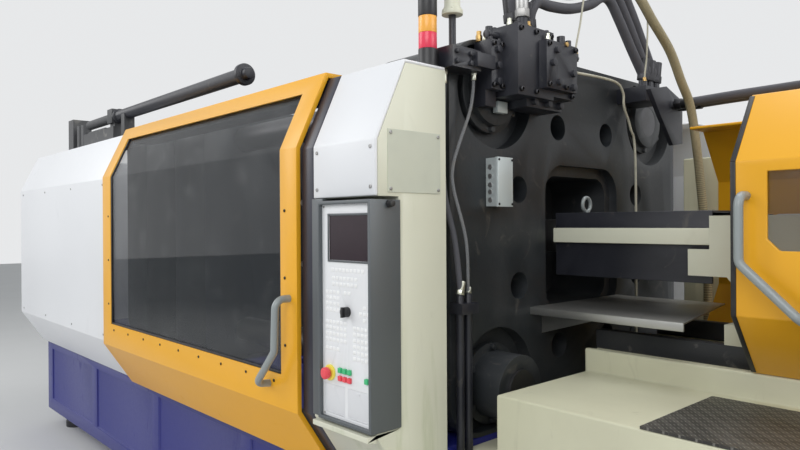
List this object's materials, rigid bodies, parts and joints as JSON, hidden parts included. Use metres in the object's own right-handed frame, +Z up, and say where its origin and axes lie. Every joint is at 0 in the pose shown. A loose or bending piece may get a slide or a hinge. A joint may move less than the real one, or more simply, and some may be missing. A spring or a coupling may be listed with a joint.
{
  "type": "injection moulding machine",
  "caption": "Horizontal injection moulding machine: sliding safety gate, control panel, platens with tie bars, ejector, injection carriage with screw, hopper and purge guard.",
  "frame": {"origin": "on the floor, under the machine axis, at the mould side of the fixed platen", "axes": "+X along the barrel axis towards the injection unit, -X towards the clamp, -Y to the operator, +Z up"},
  "size_m": [7.482, 2.6847, 2.8098],
  "materials": {
    "blue_base": "satin",
    "cream_base": "satin",
    "foot_steel": "matte",
    "platen_black": "painted",
    "bar_chrome": "polished",
    "nut_black": "painted",
    "cylinder_black": "painted",
    "cover_white": "satin",
    "rail_grey": "satin",
    "guard_orange": "satin",
    "post_dark": "satin",
    "housing_cream": "satin",
    "panel_black": "satin",
    "fascia_grey": "matte",
    "screen_glass": "glossy",
    "key_white": "matte",
    "collar_yellow": "satin",
    "lamp_black": "satin",
    "lens_red": "glossy",
    "lens_amber": "glossy",
    "block_black": "satin",
    "box_grey": "satin",
    "rail_black": "satin",
    "tray_steel": "worn",
    "plate_dark": "worn",
    "hose_rubber": "matte",
    "pane_clear": "clear",
    "handle_metal": "satin",
    "barrel_steel": "machined",
    "band_steel": "satin",
    "hopper_steel": "brushed",
    "button_red": "satin",
    "door_grey": "matte",
    "key_green": "satin"
  },
  "bodies": {
    "machine": {"clamp_base": "blue_base", "injection_base": "cream_base", "levelling_feet": "foot_steel", "fixed_platen": "platen_black", "tie_bars": "bar_chrome", "tie_bar_nuts": "nut_black", "rear_platen": "platen_black", "clamp_cylinder": "cylinder_black", "clamp_covers": "cover_white", "gate_rails": "rail_grey", "rear_guards": "guard_orange", "gate_post": "post_dark", "platen_cover": "cover_white", "side_housing": "housing_cream", "panel_housing": "panel_black", "panel_fascia": "fascia_grey", "panel_screen": "screen_glass", "panel_keys": "key_white", "stop_collar": "collar_yellow", "lamp_base": "lamp_black", "lamp_red": "lens_red", "lamp_amber": "lens_amber", "rod_block": "block_black", "manifold": "block_black", "terminal_box": "box_grey", "accumulator": "block_black", "accumulator_block": "rail_grey", "slide_rails": "rail_black", "drip_tray": "tray_steel", "step_plate": "plate_dark", "hoses": "hose_rubber"},
    "lift_cylinder": {"air_cylinder": "housing_cream"},
    "gate": {"gate_frame": "guard_orange", "gate_window": "pane_clear", "gate_handle": "handle_metal"},
    "purge_shield": {"purge_guard": "guard_orange", "purge_window": "pane_clear", "purge_handle": "handle_metal"},
    "clamp_unit": {"moving_platen": "platen_black", "clamp_ram": "bar_chrome"},
    "ejector": {"ejector_plate": "foot_steel"},
    "injection_carriage": {"carriage": "housing_cream", "barrel": "barrel_steel", "heater_bands": "band_steel", "barrel_guard": "block_black", "hopper": "hopper_steel"},
    "injection_crosshead": {"crosshead": "cylinder_black"},
    "plasticising_screw": {"screw": "bar_chrome"},
    "lid": {"hopper_lid": "hopper_steel"},
    "stop": {"stop_button": "button_red"},
    "selector": {"selector_knob": "lamp_black"},
    "left_door": {"drive_door_left": "door_grey"},
    "right_door": {"drive_door_right": "door_grey"},
    "key_green_1_cap": {"key_green_1": "key_green"},
    "key_green_2_cap": {"key_green_2": "key_green"},
    "key_green_3_cap": {"key_green_3": "key_green"},
    "key_red_1_cap": {"key_red_1": "button_red"},
    "key_red_2_cap": {"key_red_2": "button_red"},
    "key_red_3_cap": {"key_red_3": "button_red"},
    "key_single_cap": {"key_single": "key_green"}
  },
  "joints": [
    {"name": "gate_slide", "type": "slide", "parent": "machine", "child": "gate", "axis": [-1, 0, 0], "range_m": [0, 1.8]},
    {"name": "purge_slide", "type": "slide", "parent": "machine", "child": "purge_shield", "axis": [-1, 0, 0], "range_m": [0, 0.64]},
    {"name": "clamp_stroke", "type": "slide", "parent": "machine", "child": "clamp_unit", "axis": [1, 0, 0], "range_m": [0, 0.9]},
    {"name": "ejector_stroke", "type": "slide", "parent": "clamp_unit", "child": "ejector", "axis": [1, 0, 0], "range_m": [0, 0.12]},
    {"name": "carriage_stroke", "type": "slide", "parent": "machine", "child": "injection_carriage", "axis": [1, 0, 0], "range_m": [0, 0.35]},
    {"name": "injection_stroke", "type": "slide", "parent": "injection_carriage", "child": "injection_crosshead", "axis": [1, 0, 0], "range_m": [0, 0.25]},
    {"name": "screw_turn", "type": "hinge", "parent": "injection_crosshead", "child": "plasticising_screw", "pos_m": [2, 0, 1.54], "axis": [1, 0, 0], "continuous": true},
    {"name": "lid_hinge", "type": "hinge", "parent": "injection_carriage", "child": "lid", "pos_m": [1.78, 0.348, 2.506], "axis": [1, 0, 0], "range_deg": [-95, 0]},
    {"name": "lift_stroke", "type": "slide", "parent": "machine", "child": "lift_cylinder", "axis": [0, 0, 1], "range_m": [0, 0.1]},
    {"name": "stop_press", "type": "slide", "parent": "machine", "child": "stop", "axis": [0, 1, 0], "range_m": [0, 0.006], "stiffness_N_per_m": 1200},
    {"name": "selector_turn", "type": "hinge", "parent": "machine", "child": "selector", "pos_m": [0.383, -1.31, 1.308], "axis": [0, 1, 0], "range_deg": [-60, 60]},
    {"name": "left_door_hinge", "type": "hinge", "parent": "machine", "child": "left_door", "pos_m": [0.309, -1.299, 0.9576], "axis": [1, 0, 0], "range_deg": [0, 90]},
    {"name": "right_door_hinge", "type": "hinge", "parent": "machine", "child": "right_door", "pos_m": [0.437, -1.299, 0.9576], "axis": [1, 0, 0], "range_deg": [0, 90]},
    {"name": "key_green_1_press", "type": "slide", "parent": "machine", "child": "key_green_1_cap", "axis": [0, 1, 0], "range_m": [0, 0.003], "stiffness_N_per_m": 800},
    {"name": "key_green_2_press", "type": "slide", "parent": "machine", "child": "key_green_2_cap", "axis": [0, 1, 0], "range_m": [0, 0.003], "stiffness_N_per_m": 800},
    {"name": "key_green_3_press", "type": "slide", "parent": "machine", "child": "key_green_3_cap", "axis": [0, 1, 0], "range_m": [0, 0.003], "stiffness_N_per_m": 800},
    {"name": "key_red_1_press", "type": "slide", "parent": "machine", "child": "key_red_1_cap", "axis": [0, 1, 0], "range_m": [0, 0.003], "stiffness_N_per_m": 800},
    {"name": "key_red_2_press", "type": "slide", "parent": "machine", "child": "key_red_2_cap", "axis": [0, 1, 0], "range_m": [0, 0.003], "stiffness_N_per_m": 800},
    {"name": "key_red_3_press", "type": "slide", "parent": "machine", "child": "key_red_3_cap", "axis": [0, 1, 0], "range_m": [0, 0.003], "stiffness_N_per_m": 800},
    {"name": "key_single_press", "type": "slide", "parent": "machine", "child": "key_single_cap", "axis": [0, 1, 0], "range_m": [0, 0.003], "stiffness_N_per_m": 800}
  ]
}
